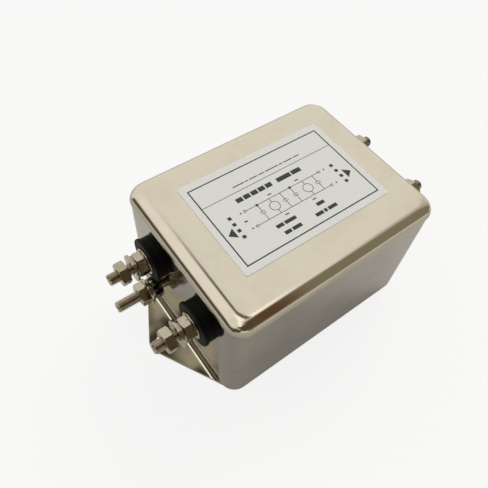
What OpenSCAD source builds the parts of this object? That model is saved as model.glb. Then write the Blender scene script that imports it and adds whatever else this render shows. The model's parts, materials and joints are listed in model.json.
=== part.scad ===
// Chassis-mount mains line filter: a drawn metal can with a pressed lid, two screw
// terminals at each end, an earth stud, and the chokes and capacitors inside.
// X runs from the line end (-X) to the load end (+X), Z is up, and the origin is
// the middle of the mounting face under the base plate.

/* [Can] */
// Length of the can along X
can_l = 78; // [76:0.5:110]
// Width of the can along Y
can_w = 59.5; // [55:0.5:80]
// Height from the top of the base plate to the top of the lid
case_h = 48; // [46:0.5:60]
// Sheet thickness of the can
can_t = 0.8; // [0.5:0.1:1]
// Outer radius of the can's upright corners
can_corner_r = 5.5; // [4.5:0.5:8]
// Outer radius of the can's bottom edge
can_foot_r = 1.5; // [1.4:0.1:2.2]

/* [Lid] */
// Sheet thickness of the lid
lid_t = 0.8; // [0.5:0.1:1]
// How far the lid's skirt stands out past the can on each side
lid_overhang = 0.25; // [0.1:0.05:0.5]
// Outer radius of the rounded shoulder round the lid's top
lid_shoulder_r = 3.6; // [2.5:0.1:4.2]
// Height of the upright skirt below that shoulder
skirt_h = 0.6; // [0.4:0.1:2]
// Gap between the skirt and the can's stepped-in rim
lid_fit = 0.1; // [0.05:0.01:0.2]
// How far the rim rises past the skirt into the shoulder
rim_rise = 0.3; // [0.1:0.1:0.4]

/* [Base plate] */
// Thickness of the base plate and its two ears
plate_t = 0.8; // [0.6:0.1:2]
// Width of an ear where it leaves the can
ear_root_w = 55.3; // [44:0.1:56]
// Distance from the can's end to the middle of the slot and of the round tip
ear_slot_out = 6.75; // [6:0.05:12]
// Radius of an ear's tip
ear_tip_r = 5.5; // [4.5:0.1:6]
// Width of a mounting slot
slot_w = 4.5; // [4.2:0.1:5]
// End-to-end length of a mounting slot
slot_l = 6.5; // [5.5:0.1:7]

/* [Label] */
// Length of the label
label_l = 55; // [30:0.5:60]
// Width of the label
label_w = 36.4; // [20:0.5:42]
// Thickness of the label
label_t = 0.15; // [0.1:0.05:0.3]
// Radius of the label's corners
label_corner_r = 0.8; // [0.4:0.1:2]
// How far the label's middle lies towards the load end
label_x = 1; // [-3:0.1:3]
// How far the label's middle lies towards the rear
label_y = 1.2; // [-3:0.1:3]
// Degrees by which the label is turned on the lid
label_turn = -0.5; // [-2:0.1:2]

/* [Terminals] */
// Distance between the two terminals of one end
terminal_spacing = 26.4; // [24:0.1:30]
// Depth of the terminals below the lid's top
terminal_drop = 17.4; // [16:0.1:19]
// Thread diameter of a terminal stud
stud_d = 4; // [3:0.1:4]
// Pitch of the thread
stud_pitch = 0.7; // [0.5:0.05:0.8]
// How far a stud's tip stands out from the can's end
stud_reach = 16.3; // [16:0.1:20]
// Height of the hexagonal head inside the can
stud_head_h = 2.8; // [2:0.1:3]
// Chamfer at a stud's tip
stud_chamfer = 0.45; // [0.2:0.05:0.6]

/* [Insulators] */
// Diameter of the outer insulator's body
insulator_d = 14; // [12:0.1:14.4]
// Diameter of its outer flange
insulator_flange_d = 14.8; // [14.6:0.1:16]
// Thickness of that flange
insulator_flange_t = 1.2; // [0.8:0.1:2]
// How far the outer insulator stands out from the can's end
insulator_reach = 3.3; // [2.8:0.1:3.6]
// Rounding of the flange's edges
insulator_edge_r = 0.3; // [0.1:0.05:0.35]
// Diameter of the spigot that passes through the can's end
spigot_d = 10; // [8:0.1:10.5]
// How far the spigot reaches into the inner insulator
spigot_seat = 1.4; // [0.8:0.1:1.6]
// Diameter of the inner insulator
inner_insulator_d = 13; // [12:0.1:14]
// Thickness of the inner insulator
inner_insulator_t = 2.5; // [2.2:0.1:3]
// Radial gap of the spigot in its hole and of the insulators on the stud
insulator_fit = 0.1; // [0.05:0.05:0.2]

/* [Nuts and washers] */
// Width across the flats of a nut
nut_af = 7; // [6:0.1:7.2]
// Height of a nut
nut_h = 3; // [2.4:0.1:3.2]
// Radial running gap between a nut's bore and the stud
nut_fit = 0.05; // [0.02:0.01:0.1]
// Turns by which each outer terminal nut stands loose
loose_turns = 2; // [0:0.5:3]
// Gap in front of the washers once that nut is screwed home
nut_home_gap = 0.05; // [0.02:0.01:0.2]
// Outer diameter of a plain washer
washer_d = 9; // [8:0.1:9.4]
// Thickness of a plain washer
washer_t = 0.8; // [0.5:0.1:1]
// Thickness of the thin washer under a lock nut
thin_washer_t = 0.5; // [0.3:0.1:0.8]
// Outer diameter of a spring washer
spring_washer_d = 7.4; // [6.6:0.1:8]
// Thickness of a spring washer
spring_washer_t = 0.9; // [0.6:0.1:1]
// Width of the split in a spring washer
spring_split_w = 0.5; // [0.3:0.1:1]
// Degrees by which that split leans
spring_split_lean = 25; // [0:1:35]
// Radial gap of the washers on the stud
washer_fit = 0.15; // [0.1:0.05:0.3]

/* [Earth stud] */
// Distance of the earth stud from the middle, towards the rear
earth_y = 10; // [8:0.1:10.5]
// Gap between the earth nut's corners and the flange of the terminal above
earth_clear = 1; // [0.6:0.1:2]
// How far its tip stands out from the can's end
earth_reach = 17; // [17:0.1:22]
// Length of thread left bare between the can and the backing nut
earth_bare = 1.6; // [0.5:0.1:2]
// Diameter of its welded head inside the can
earth_head_d = 6; // [5:0.1:6.4]
// Thickness of that head
earth_head_t = 1.2; // [0.8:0.1:1.4]

/* [Liner and board] */
// Thickness of the insulating liner
liner_t = 0.5; // [0.3:0.1:0.8]
// How far the liner's walls stand above the board
liner_rise = 0.4; // [0.2:0.1:1]
// Gap of the liner to the can and of the potting to the liner
liner_fit = 0.1; // [0.05:0.05:0.2]
// Depth of the potting under the board
potting_h = 4; // [3:0.1:4.5]
// Thickness of the circuit board
board_t = 1.6; // [1:0.1:2]
// Gap round the board
board_gap = 0.4; // [0.2:0.1:1]

/* [Chokes] */
// Height left between a choke and the lid
choke_headroom = 4.8; // [1:0.1:8]
// Inner diameter of a ring core
core_id = 18; // [17:0.5:20]
// Room for lugs and leads between the end capacitors and the can's ends
end_room = 7.7; // [6.5:0.1:9]
// Rounding of a core's edges
core_edge_r = 0.8; // [0.4:0.1:1.2]
// Diameter of the winding wire
wire_d = 1.6; // [1.2:0.1:1.7]
// Gap between the wire and the core
wire_fit = 0.15; // [0.1:0.05:0.3]
// Degrees of the core that one winding covers
winding_span = 130; // [100:1:130]
// Gap between the saddle under a core and the windings on both sides
saddle_gap = 1; // [0.6:0.1:2]
// Height of the saddle at its sides
saddle_h = 4.2; // [3.4:0.1:5]

/* [Capacitors and resistor] */
// Thickness of a film capacitor along X
film_cap_t = 8; // [6:0.5:8]
// Width of a film capacitor along Y
film_cap_w = 17; // [12:0.5:20]
// Height of a film capacitor
film_cap_h = 18; // [12:0.5:22]
// Rounding of its upright edges
film_cap_edge_r = 0.8; // [0.4:0.1:1.5]
// Diameter of a disc capacitor
disc_cap_d = 9; // [7:0.5:12]
// Thickness of a disc capacitor
disc_cap_t = 4; // [3:0.1:4.5]
// Distance from the middle to each disc capacitor along X
disc_cap_x = 9; // [8:0.5:14]
// Length of a disc capacitor's legs above the board
leg_h = 2; // [1:0.1:3]
// Diameter of the legs
leg_d = 0.8; // [0.6:0.1:1]
// Diameter of the bleed resistor's body
resistor_d = 3.4; // [2.4:0.1:4]
// Length of the bleed resistor's body
resistor_l = 9; // [6:0.5:12]
// Gap between neighbouring parts on the board
part_gap = 1; // [0.6:0.1:1.2]

/* [Lugs and leads] */
// Thickness of a ring lug's sheet
lug_t = 0.8; // [0.5:0.1:1]
// Diameter of a ring lug's eye
lug_d = 8; // [7:0.1:9]
// Width of a lug's tongue
lug_tongue_w = 3.4; // [2.4:0.1:4]
// Distance from the stud's axis down to a lug's barrel
lug_drop = 4.6; // [4.4:0.1:5.5]
// Length of a lug's barrel
lug_barrel_l = 4; // [3:0.1:4.4]
// Wall thickness of a lug's barrel
lug_barrel_t = 0.5; // [0.3:0.1:0.7]
// Diameter of the leads to the board
lead_d = 2.6; // [2:0.1:2.8]
// Diameter of the earth lead
earth_lead_d = 1.4; // [1:0.1:1.6]
// Radial gap of a lead in its barrel
lead_fit = 0.05; // [0.05:0.01:0.1]
// Radius of the earth lead's bend down to the board
lead_bend_r = 2; // [1.5:0.1:2.4]

/* [Hidden] */
$fn = 96;

// The two ends and the two sides, as signs along X and Y
line_end = -1;
load_end = 1;
front = -1;
rear = 1;
// Overrun of every cut past the face that it opens
overrun = 0.5;

// Heights from the mounting face
can_floor = plate_t + can_t;
lid_top = plate_t + case_h;
lid_skirt = lid_shoulder_r + skirt_h;
rim_step = lid_top - lid_skirt;
rim_h = skirt_h + rim_rise;
terminal_z = lid_top - terminal_drop;
board_bottom = can_floor + liner_t + potting_h;
board_top = board_bottom + board_t;
liner_h = liner_t + potting_h + board_t + liner_rise;

// The lid's outside, and the can's rim that its skirt goes round
lid_l = can_l + 2 * lid_overhang;
lid_w = can_w + 2 * lid_overhang;
lid_corner_r = can_corner_r + lid_overhang;
rim_inset = lid_t + lid_fit - lid_overhang;
rim_l = can_l - 2 * rim_inset;
rim_w = can_w - 2 * rim_inset;
rim_corner_r = can_corner_r - rim_inset;

// An ear's edge runs from its root's corner and touches the round tip at this angle
slot_x = can_l / 2 + ear_slot_out;
ear_edge_l = norm([ear_slot_out, ear_root_w / 2]);
ear_tip_angle = 180 - atan2(ear_root_w / 2, ear_slot_out) - acos(ear_tip_r / ear_edge_l);

// Distances out from the can's end along a terminal's stack
stud_r = stud_d / 2;
lock_nut_at = insulator_reach + thin_washer_t;
spring_washer_at = lock_nut_at + nut_h;
washer_at = spring_washer_at + spring_washer_t;
nut_at = washer_at + washer_t + nut_home_gap + loose_turns * stud_pitch;
stud_back = can_t + inner_insulator_t + lug_t;

// The earth stud hangs below the rear terminal of the line end, clear of its flange
hex_corner_share = 1 / cos(30);
earth_pitch = insulator_flange_d / 2 + nut_af / 2 * hex_corner_share + earth_clear;
earth_z = terminal_z - sqrt(pow(earth_pitch, 2) - pow(terminal_spacing / 2 - earth_y, 2));

// Distances out from the can's end along the earth stud
earth_spring_washer_at = earth_bare + nut_h;
earth_washer_at = earth_spring_washer_at + spring_washer_t;
earth_nut_at = earth_washer_at + washer_t;

// Sizes inside the can
liner_l = can_l - 2 * (can_t + liner_fit);
liner_w = can_w - 2 * (can_t + liner_fit);
liner_corner_r = can_corner_r - can_t - liner_fit;
liner_foot_r = can_foot_r - can_t;
potting_inset = liner_t + liner_fit;
board_inset = liner_t + board_gap;

// A choke stands on edge, its ring's axis along X: it fills the height under the lid
// and the length that the three film capacitors and the lugs leave
wire_room = wire_fit + wire_d;
choke_r = (lid_top - lid_t - choke_headroom - board_top) / 2;
choke_t = can_l / 2 - can_t - end_room - 1.5 * film_cap_t - 2 * part_gap;
core_od = 2 * (choke_r - wire_room);
core_t = choke_t - 2 * wire_room;
choke_x = film_cap_t / 2 + part_gap + choke_t / 2;
choke_z = board_top + choke_r;
end_cap_x = choke_x + choke_t / 2 + part_gap + film_cap_t / 2;
saddle_w = core_od * sin(90 - winding_span / 2) - 2 * saddle_gap;

// The small parts stand midway between the chokes and the board's long edges
board_w = liner_w - 2 * board_inset;
side_y = (choke_r + board_w / 2) / 2;

// A lead's barrel, measured down from the eye of its lug
earth_lug_drop = lug_drop - lug_t;

lug_hole_r = stud_r + insulator_fit;
nut_chamfer_angle = 30;

// Degrees by which each nut is turned from a flat on top
line_front_nut_turn = 12;
line_rear_nut_turn = 20;
load_front_nut_turn = 5;
load_rear_nut_turn = 26;
earth_nut_turn = 8;
lock_nut_turn = 16;

// A rectangle with round corners, centred
module rounded_plan(l, w, r) {
    square([l - 2 * r, w], center = true);
    square([l, w - 2 * r], center = true);
    for (x = [-1, 1], y = [-1, 1])
        translate([x * (l / 2 - r), y * (w / 2 - r)]) circle(r);
}

// The upright half section of a drawn block's corner, its lower outer edge rounded
module foot_section(half_w, h, foot_r) {
    intersection() {
        square([half_w, h]);
        union() {
            translate([0, foot_r]) square([half_w, h]);
            square([half_w - foot_r, h]);
            translate([half_w - foot_r, foot_r]) circle(foot_r);
        }
    }
}

// A block as deep drawing makes it: round upright corners and a rounded bottom edge
module drawn_block(l, w, h, corner_r, foot_r) {
    for (side = [0, 1]) mirror([side, 0, 0])
        rotate([90, 0, 0]) linear_extrude(w - 2 * corner_r, center = true)
            foot_section(l / 2, h, foot_r);
    for (side = [0, 1]) mirror([0, side, 0])
        rotate([90, 0, 90]) linear_extrude(l - 2 * corner_r, center = true)
            foot_section(w / 2, h, foot_r);
    for (x = [-1, 1], y = [-1, 1])
        translate([x * (l / 2 - corner_r), y * (w / 2 - corner_r), 0])
            rotate_extrude() foot_section(corner_r, h, foot_r);
}

// Puts what is drawn with +X pointing out of the can at a terminal of one end
module at_terminal(end, side) {
    translate([0, side * terminal_spacing / 2, terminal_z])
        mirror([end < 0 ? 1 : 0, 0, 0]) translate([can_l / 2, 0, 0]) children();
}

// The same at the earth stud, which only the line end has
module at_earth() {
    translate([-can_l / 2, earth_y, earth_z]) mirror([1, 0, 0]) children();
}

// Turns what is drawn along Z to lie along X
module along_x() {
    rotate([0, 90, 0]) children();
}

// A round rod along Z from below zero to its chamfered tip
module rod(r, back, reach, chamfer) {
    rotate_extrude() polygon([
        [0, -back], [r, -back], [r, reach - chamfer], [r - chamfer, reach], [0, reach]
    ]);
}

// A hexagonal nut or head from zero to its height, its corners chamfered
module hex_block(af, h, turn) {
    corner_r = af / 2 * hex_corner_share;
    beyond_r = corner_r + overrun;
    fall = (beyond_r - af / 2) * tan(nut_chamfer_angle);
    rotate([0, 0, turn]) intersection() {
        cylinder(h = h, r = corner_r, $fn = 6);
        rotate_extrude() polygon([
            [0, 0], [af / 2, 0], [beyond_r, fall], [beyond_r, h - fall], [af / 2, h], [0, h]
        ]);
    }
}

module nut(turn) {
    difference() {
        hex_block(nut_af, nut_h, turn);
        translate([0, 0, -overrun]) cylinder(h = nut_h + 2 * overrun, r = stud_r + nut_fit);
    }
}

module plain_washer(t) {
    difference() {
        cylinder(h = t, d = washer_d);
        translate([0, 0, -overrun]) cylinder(h = t + 2 * overrun, r = stud_r + washer_fit);
    }
}

module spring_washer() {
    difference() {
        cylinder(h = spring_washer_t, d = spring_washer_d);
        translate([0, 0, -overrun])
            cylinder(h = spring_washer_t + 2 * overrun, r = stud_r + washer_fit);
        translate([spring_washer_d / 2, 0, spring_washer_t / 2]) rotate([spring_split_lean, 0, 0])
            cube([spring_washer_d, spring_split_w, 2 * spring_washer_d], center = true);
    }
}

module can() {
    color([0.62, 0.6, 0.55]) difference() {
        union() {
            translate([0, 0, plate_t])
                drawn_block(can_l, can_w, rim_step - plate_t, can_corner_r, can_foot_r);
            translate([0, 0, rim_step - can_t])
                linear_extrude(can_t + rim_h) rounded_plan(rim_l, rim_w, rim_corner_r);
        }
        translate([0, 0, can_floor])
            drawn_block(can_l - 2 * can_t, can_w - 2 * can_t, rim_step - can_t - can_floor,
                can_corner_r - can_t, can_foot_r - can_t);
        translate([0, 0, rim_step - 2 * can_t]) linear_extrude(2 * can_t + rim_h + overrun)
            rounded_plan(rim_l - 2 * can_t, rim_w - 2 * can_t, rim_corner_r - can_t);
        for (end = [line_end, load_end], side = [front, rear]) at_terminal(end, side)
            along_x() translate([0, 0, -can_t - overrun])
                cylinder(h = can_t + 2 * overrun, r = spigot_d / 2 + insulator_fit);
        at_earth() along_x() translate([0, 0, -can_t - overrun])
            cylinder(h = can_t + 2 * overrun, r = stud_r + nut_fit);
    }
}

module lid() {
    color([0.82, 0.79, 0.71]) translate([0, 0, lid_top]) mirror([0, 0, 1]) difference() {
        drawn_block(lid_l, lid_w, lid_skirt, lid_corner_r, lid_shoulder_r);
        translate([0, 0, lid_t])
            drawn_block(lid_l - 2 * lid_t, lid_w - 2 * lid_t, lid_skirt,
                lid_corner_r - lid_t, lid_shoulder_r - lid_t);
    }
}

// The half outline of the plate beyond a can's end, up to the tip's tangent points
module ear_plan() {
    tangent_x = slot_x + ear_tip_r * cos(ear_tip_angle);
    tangent_y = ear_tip_r * sin(ear_tip_angle);
    polygon([
        [0, -ear_root_w / 2], [can_l / 2, -ear_root_w / 2], [tangent_x, -tangent_y],
        [tangent_x, tangent_y], [can_l / 2, ear_root_w / 2], [0, ear_root_w / 2]
    ]);
    translate([slot_x, 0]) circle(ear_tip_r);
}

module slot_plan() {
    square([slot_l - slot_w, slot_w], center = true);
    for (x = [-1, 1]) translate([x * (slot_l - slot_w) / 2, 0]) circle(d = slot_w);
}

module base_plate() {
    color([0.5, 0.46, 0.38]) linear_extrude(plate_t) difference() {
        union() {
            ear_plan();
            mirror([1, 0]) ear_plan();
        }
        for (x = [-1, 1]) translate([x * slot_x, 0]) slot_plan();
    }
}

module label() {
    color([0.86, 0.87, 0.86]) translate([label_x, label_y, lid_top]) rotate([0, 0, label_turn])
        linear_extrude(label_t) rounded_plan(label_l, label_w, label_corner_r);
}

// The half section of an outer insulator, out along +Y from the can's end
module insulator_section() {
    bore_r = stud_r + insulator_fit;
    flange_r = insulator_flange_d / 2;
    flange_at = insulator_reach - insulator_flange_t;
    spigot_l = can_t + spigot_seat;
    translate([bore_r, -spigot_l]) square([spigot_d / 2 - bore_r, spigot_l + insulator_reach]);
    translate([bore_r, 0]) square([insulator_d / 2 - bore_r, flange_at + insulator_edge_r]);
    translate([bore_r, flange_at])
        square([flange_r - insulator_edge_r - bore_r, insulator_flange_t]);
    translate([bore_r, flange_at + insulator_edge_r])
        square([flange_r - bore_r, insulator_flange_t - 2 * insulator_edge_r]);
    for (y = [flange_at + insulator_edge_r, insulator_reach - insulator_edge_r])
        translate([flange_r - insulator_edge_r, y]) circle(insulator_edge_r);
}

module insulator(end, side) {
    color([0.06, 0.06, 0.07]) at_terminal(end, side) along_x() rotate_extrude() insulator_section();
}

module inner_insulator(end, side) {
    color([0.08, 0.08, 0.09]) at_terminal(end, side) along_x()
        translate([0, 0, -can_t - inner_insulator_t]) difference() {
            cylinder(h = inner_insulator_t, d = inner_insulator_d);
            translate([0, 0, -overrun])
                cylinder(h = inner_insulator_t, r = stud_r + insulator_fit);
            translate([0, 0, inner_insulator_t - spigot_seat - insulator_fit])
                cylinder(h = inner_insulator_t, r = spigot_d / 2 + insulator_fit);
        }
}

module terminal_stud(end, side) {
    color([0.66, 0.6, 0.5]) at_terminal(end, side) along_x() {
        rod(stud_r, stud_back, stud_reach, stud_chamfer);
        translate([0, 0, -stud_back - stud_head_h]) hex_block(nut_af, stud_head_h, 0);
    }
}

module thin_washers() {
    color([0.7, 0.68, 0.62]) for (end = [line_end, load_end], side = [front, rear])
        at_terminal(end, side) along_x()
            translate([0, 0, insulator_reach]) plain_washer(thin_washer_t);
}

module lock_nuts() {
    color([0.78, 0.74, 0.64]) for (end = [line_end, load_end], side = [front, rear])
        at_terminal(end, side) along_x() translate([0, 0, lock_nut_at]) nut(lock_nut_turn);
}

module terminal_spring_washer(end, side) {
    color([0.6, 0.58, 0.52]) at_terminal(end, side) along_x()
        translate([0, 0, spring_washer_at]) spring_washer();
}

module terminal_washer(end, side) {
    color([0.74, 0.72, 0.66]) at_terminal(end, side) along_x()
        translate([0, 0, washer_at]) plain_washer(washer_t);
}

module terminal_nut(end, side, turn) {
    color([0.8, 0.76, 0.66]) at_terminal(end, side) along_x()
        translate([0, 0, nut_at]) nut(turn);
}

module earth_stud() {
    color([0.62, 0.57, 0.48]) at_earth() along_x() {
        rod(stud_r, can_t, earth_reach, stud_chamfer);
        translate([0, 0, -can_t - earth_head_t]) cylinder(h = earth_head_t, d = earth_head_d);
    }
}

module earth_backing_nut() {
    color([0.78, 0.74, 0.64]) at_earth() along_x()
        translate([0, 0, earth_bare]) nut(lock_nut_turn);
}

module earth_spring_washer() {
    color([0.6, 0.58, 0.52]) at_earth() along_x()
        translate([0, 0, earth_spring_washer_at]) spring_washer();
}

module earth_washer() {
    color([0.74, 0.72, 0.66]) at_earth() along_x()
        translate([0, 0, earth_washer_at]) plain_washer(washer_t);
}

module earth_nut() {
    color([0.8, 0.76, 0.66]) at_earth() along_x()
        translate([0, 0, earth_nut_at]) nut(earth_nut_turn);
}

module liner() {
    color([0.78, 0.74, 0.6]) translate([0, 0, can_floor]) difference() {
        drawn_block(liner_l, liner_w, liner_h, liner_corner_r, liner_foot_r);
        translate([0, 0, liner_t])
            drawn_block(liner_l - 2 * liner_t, liner_w - 2 * liner_t, liner_h,
                liner_corner_r - liner_t, liner_foot_r - liner_t);
    }
}

module potting() {
    color([0.15, 0.14, 0.13]) translate([0, 0, can_floor + liner_t])
        drawn_block(liner_l - 2 * potting_inset, liner_w - 2 * potting_inset, potting_h,
            liner_corner_r - potting_inset, liner_foot_r - liner_t);
}

module circuit_board() {
    color([0.2, 0.42, 0.25]) translate([0, 0, board_bottom]) linear_extrude(board_t)
        rounded_plan(liner_l - 2 * board_inset, board_w, liner_corner_r - board_inset);
}

// Puts what is drawn round Z, zero degrees pointing down, at the choke of one end
module at_choke(end) {
    translate([end * choke_x, 0, choke_z]) along_x() children();
}

module choke_core(end) {
    color([0.22, 0.24, 0.26]) at_choke(end) rotate_extrude()
        translate([(core_od + core_id) / 4, 0])
            rounded_plan((core_od - core_id) / 2, core_t, core_edge_r);
}

module choke_winding(end, side) {
    color([0.72, 0.42, 0.2]) at_choke(end) rotate([0, 0, side * 90 - winding_span / 2])
        rotate_extrude(angle = winding_span) translate([(core_od + core_id) / 4, 0])
            difference() {
                rounded_plan((core_od - core_id) / 2 + 2 * wire_room, choke_t, wire_d);
                rounded_plan((core_od - core_id) / 2 + 2 * wire_fit, core_t + 2 * wire_fit,
                    core_edge_r);
            }
}

module choke_saddle(end) {
    color([0.3, 0.3, 0.32]) difference() {
        translate([end * choke_x - core_t / 2, -saddle_w / 2, board_top])
            cube([core_t, saddle_w, saddle_h]);
        at_choke(end) cylinder(h = core_t + 2 * overrun, r = core_od / 2 + wire_fit, center = true);
    }
}

module film_capacitor(x) {
    color([0.85, 0.7, 0.25]) translate([x, 0, board_top]) linear_extrude(film_cap_h)
        rounded_plan(film_cap_t, film_cap_w, film_cap_edge_r);
}

module disc_capacitors() {
    disc_z = board_top + leg_h + disc_cap_d / 2;
    color([0.2, 0.4, 0.7]) for (end = [line_end, load_end])
        translate([end * disc_cap_x, side_y, disc_z]) {
            rotate([90, 0, 0]) cylinder(h = disc_cap_t, d = disc_cap_d, center = true);
            for (leg = [-1, 1])
                translate([leg * disc_cap_d / 4, 0, -leg_h - disc_cap_d / 2])
                    cylinder(h = leg_h + disc_cap_d / 4, d = leg_d);
        }
}

module bleed_resistor() {
    rise = resistor_d / 2 + part_gap / 2;
    reach = resistor_l / 2 + leg_d;
    color([0.75, 0.66, 0.5]) translate([0, -side_y, board_top]) {
        translate([0, 0, rise]) along_x() {
            cylinder(h = resistor_l, d = resistor_d, center = true);
            cylinder(h = 2 * reach, d = leg_d, center = true);
        }
        for (leg = [-1, 1]) translate([leg * reach, 0, 0]) {
            cylinder(h = rise, d = leg_d);
            translate([0, 0, rise]) sphere(d = leg_d);
        }
    }
}

// A crimped lug whose outer face lies at zero, its eye on the X axis and its barrel below
module lug(eye_r, hole_r, drop, barrel_r, lead_r) {
    difference() {
        union() {
            translate([-lug_t, 0, 0]) along_x() linear_extrude(lug_t) {
                circle(eye_r);
                translate([0, -lug_tongue_w / 2]) square([drop + lug_barrel_l, lug_tongue_w]);
            }
            translate([-barrel_r, 0, -drop - lug_barrel_l]) cylinder(h = lug_barrel_l, r = barrel_r);
        }
        translate([-barrel_r, 0, -drop - lug_barrel_l - overrun])
            cylinder(h = lug_barrel_l + 2 * overrun, r = lead_r);
        translate([-lug_t - overrun, 0, 0]) along_x()
            cylinder(h = lug_t + 2 * overrun, r = hole_r);
    }
}

// Radius of the barrel that a lead of this diameter is crimped into
function barrel_r(lead) = lead / 2 + lead_fit + lug_barrel_t;

module ring_lugs() {
    color([0.72, 0.62, 0.4]) for (end = [line_end, load_end], side = [front, rear])
        at_terminal(end, side) translate([-can_t - inner_insulator_t, 0, 0])
            lug(lug_d / 2, lug_hole_r, lug_drop, barrel_r(lead_d), lead_d / 2 + lead_fit);
}

module leads(end) {
    lead_l = terminal_z - lug_drop - board_top;
    color([0.35, 0.2, 0.12]) for (side = [front, rear]) at_terminal(end, side)
        translate([-can_t - inner_insulator_t - barrel_r(lead_d), 0, -lug_drop - lead_l])
            cylinder(h = lead_l, d = lead_d);
}

// Its barrel points to the middle, since the board lies close below
module earth_lug() {
    color([0.72, 0.62, 0.4]) at_earth() translate([-can_t - earth_head_t, 0, 0])
        rotate([-90, 0, 0]) lug(earth_head_d / 2, earth_lead_d / 2, earth_lug_drop,
            barrel_r(earth_lead_d), earth_lead_d / 2 + lead_fit);
}

// It runs out of the barrel, bends and goes straight down to the board
module earth_lead() {
    run = earth_lug_drop + lug_barrel_l;
    fall = earth_z - lead_bend_r - board_top;
    color([0.3, 0.45, 0.15]) at_earth()
        translate([-can_t - earth_head_t - barrel_r(earth_lead_d), 0, 0]) {
            translate([0, -earth_lug_drop, 0]) rotate([90, 0, 0])
                cylinder(h = lug_barrel_l, d = earth_lead_d);
            translate([0, -run, -lead_bend_r]) along_x() rotate([0, 0, 180])
                rotate_extrude(angle = 90) translate([lead_bend_r, 0]) circle(d = earth_lead_d);
            translate([0, -run - lead_bend_r, -lead_bend_r - fall])
                cylinder(h = fall, d = earth_lead_d);
        }
}

can();
lid();
base_plate();
label();
insulator(line_end, front);  // line_front_insulator
insulator(line_end, rear);  // line_rear_insulator
insulator(load_end, front);  // load_front_insulator
insulator(load_end, rear);  // load_rear_insulator
inner_insulator(line_end, front);  // line_front_inner_insulator
inner_insulator(line_end, rear);  // line_rear_inner_insulator
inner_insulator(load_end, front);  // load_front_inner_insulator
inner_insulator(load_end, rear);  // load_rear_inner_insulator
terminal_stud(line_end, front);  // line_front_stud
terminal_stud(line_end, rear);  // line_rear_stud
terminal_stud(load_end, front);  // load_front_stud
terminal_stud(load_end, rear);  // load_rear_stud
thin_washers();
lock_nuts();
terminal_spring_washer(line_end, front);  // line_front_spring_washer
terminal_spring_washer(line_end, rear);  // line_rear_spring_washer
terminal_spring_washer(load_end, front);  // load_front_spring_washer
terminal_spring_washer(load_end, rear);  // load_rear_spring_washer
terminal_washer(line_end, front);  // line_front_washer
terminal_washer(line_end, rear);  // line_rear_washer
terminal_washer(load_end, front);  // load_front_washer
terminal_washer(load_end, rear);  // load_rear_washer
terminal_nut(line_end, front, line_front_nut_turn);  // line_front_nut
terminal_nut(line_end, rear, line_rear_nut_turn);  // line_rear_nut
terminal_nut(load_end, front, load_front_nut_turn);  // load_front_nut
terminal_nut(load_end, rear, load_rear_nut_turn);  // load_rear_nut
earth_stud();
earth_backing_nut();
earth_spring_washer();
earth_washer();
earth_nut();
liner();
potting();
circuit_board();
choke_core(line_end);  // line_choke_core
choke_core(load_end);  // load_choke_core
choke_saddle(line_end);  // line_choke_saddle
choke_saddle(load_end);  // load_choke_saddle
choke_winding(line_end, front);  // line_choke_front_winding
choke_winding(line_end, rear);  // line_choke_rear_winding
choke_winding(load_end, front);  // load_choke_front_winding
choke_winding(load_end, rear);  // load_choke_rear_winding
film_capacitor(line_end * end_cap_x);  // line_film_capacitor
film_capacitor(0);  // middle_film_capacitor
film_capacitor(load_end * end_cap_x);  // load_film_capacitor
disc_capacitors();
bleed_resistor();
ring_lugs();
leads(line_end);  // line_leads
leads(load_end);  // load_leads
earth_lug();
earth_lead();
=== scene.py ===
"""Looks of a chassis-mount mains line filter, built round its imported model.

The can, the insulators, the nuts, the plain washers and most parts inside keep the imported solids
and get their finishes here. The lid, the base plate, the label, the threaded studs, the spring
washers and the wound wires are modelled here and stand for the plain solids. The file ends with
the studio: floor, daylight and camera.
"""
from __future__ import annotations

import json
import logging
import math
from dataclasses import dataclass, field
from enum import Enum
from typing import Any, Iterator, Mapping, Sequence

import bmesh
import bpy
from mathutils import Matrix, Vector

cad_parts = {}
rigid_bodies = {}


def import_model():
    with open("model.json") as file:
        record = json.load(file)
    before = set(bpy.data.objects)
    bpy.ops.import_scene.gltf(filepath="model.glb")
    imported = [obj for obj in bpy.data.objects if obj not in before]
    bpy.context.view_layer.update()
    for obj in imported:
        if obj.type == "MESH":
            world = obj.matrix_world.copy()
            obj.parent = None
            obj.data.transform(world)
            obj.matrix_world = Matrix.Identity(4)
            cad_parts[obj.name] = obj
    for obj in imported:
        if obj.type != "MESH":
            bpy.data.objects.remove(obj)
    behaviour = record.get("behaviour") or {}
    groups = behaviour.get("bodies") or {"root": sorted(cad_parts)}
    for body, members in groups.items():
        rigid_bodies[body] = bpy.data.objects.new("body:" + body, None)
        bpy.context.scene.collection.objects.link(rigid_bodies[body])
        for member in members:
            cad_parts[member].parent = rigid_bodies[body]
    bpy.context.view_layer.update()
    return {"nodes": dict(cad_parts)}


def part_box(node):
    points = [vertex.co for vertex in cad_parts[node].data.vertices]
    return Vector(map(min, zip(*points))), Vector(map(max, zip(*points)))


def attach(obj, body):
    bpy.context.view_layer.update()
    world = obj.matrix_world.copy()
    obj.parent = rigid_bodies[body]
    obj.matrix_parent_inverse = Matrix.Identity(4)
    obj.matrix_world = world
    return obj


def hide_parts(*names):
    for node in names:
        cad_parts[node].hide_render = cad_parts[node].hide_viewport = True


LOG = logging.getLogger("line_filter")

MM = 0.001

Colour = tuple[float, float, float]
Point = tuple[float, float, float]
Flat = tuple[float, float]
Shape = tuple[Sequence[Flat], Sequence[Flat]]
Span = tuple[float, float]


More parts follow.
